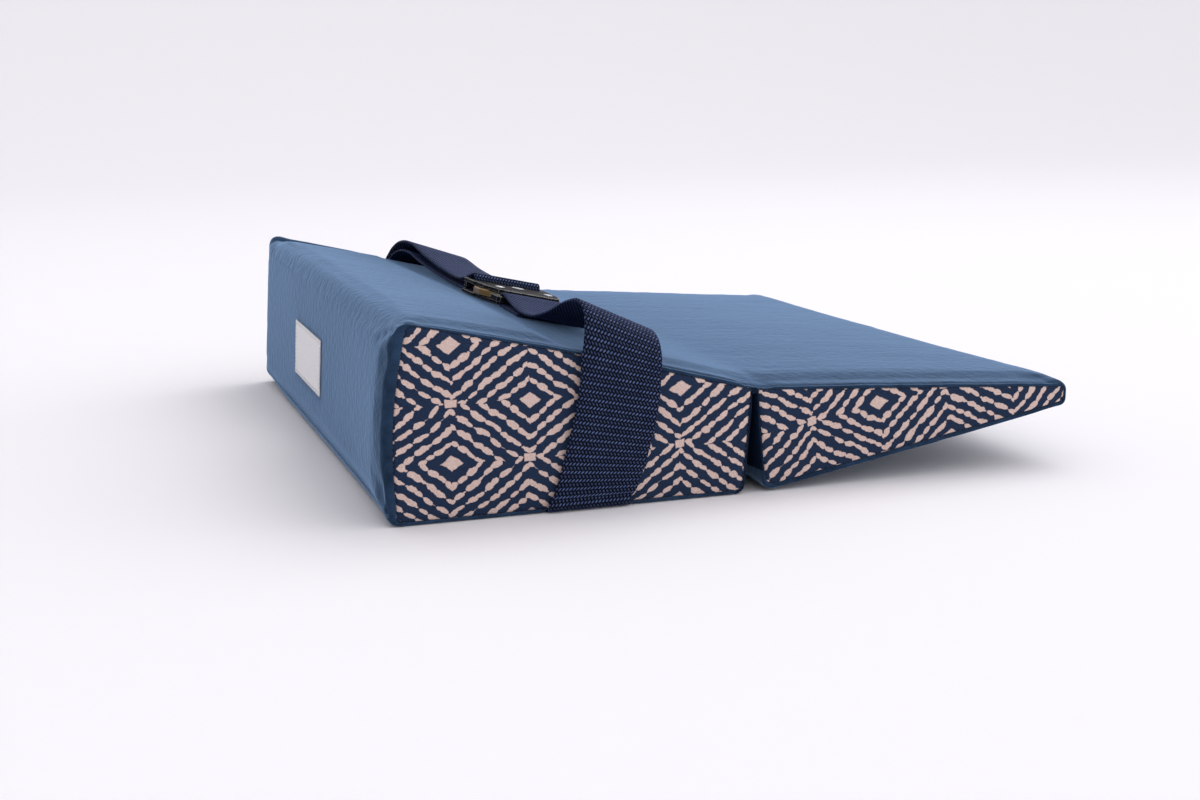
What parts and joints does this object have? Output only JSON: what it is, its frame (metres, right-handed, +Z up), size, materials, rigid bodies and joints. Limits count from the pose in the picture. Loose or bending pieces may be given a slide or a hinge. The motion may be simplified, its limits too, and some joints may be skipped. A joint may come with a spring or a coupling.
{
  "type": "folding wedge travel pillow with a buckled strap",
  "caption": "Folding travel pillow of two foam-filled cloth wedges joined along their top, with printed side panels, a blank label and a webbing strap closed by a metal release buckle",
  "frame": {"origin": "on the surface the pillow rests on, under the middle of its bounding box", "axes": "+X from the thick end to the thin tip, +Y across the pillow away from the viewer, +Z up"},
  "size_m": [0.439, 0.4884, 0.1213],
  "materials": {
    "blue_cloth": "matt, close-woven plain cloth",
    "printed_cloth": "matt, navy cloth printed with pink-beige beaded lines",
    "label_cloth": "smooth white woven tape, blank",
    "navy_webbing": "ribbed twill webbing with a slight sheen",
    "gunmetal": "dark satin coating worn bright on its edges",
    "brass": "satin brass",
    "steel": "polished steel rivet heads"
  },
  "bodies": {
    "pillow": {"thick_wedge": "blue_cloth", "thin_wedge": "blue_cloth", "fold_cloth": "blue_cloth", "thick_side_near": "printed_cloth", "thick_side_far": "printed_cloth", "thin_side_near": "printed_cloth", "thin_side_far": "printed_cloth", "label": "label_cloth", "strap": "navy_webbing", "buckle_base_plate": "gunmetal", "buckle_top_plate": "gunmetal", "buckle_far_bar": "gunmetal", "buckle_tongue": "gunmetal", "buckle_rivet_left": "steel", "buckle_rivet_right": "steel", "buckle_rivet_centre": "steel"},
    "clip_left": {"buckle_clip_left": "brass"},
    "clip_right": {"buckle_clip_right": "brass"}
  },
  "joints": [
    {"name": "clip_left_press", "type": "hinge", "parent": "pillow", "child": "clip_left", "pos_m": [-0.09208, -0.01523, 0.09608], "axis": [-0.2202, 0, -0.9754], "range_deg": [0, 8], "stiffness_Nm_per_rad": 0.03},
    {"name": "clip_right_press", "type": "hinge", "parent": "pillow", "child": "clip_right", "pos_m": [-0.05699, -0.01397, 0.08816], "axis": [0.2202, 0, 0.9754], "range_deg": [0, 8], "stiffness_Nm_per_rad": 0.03}
  ]
}
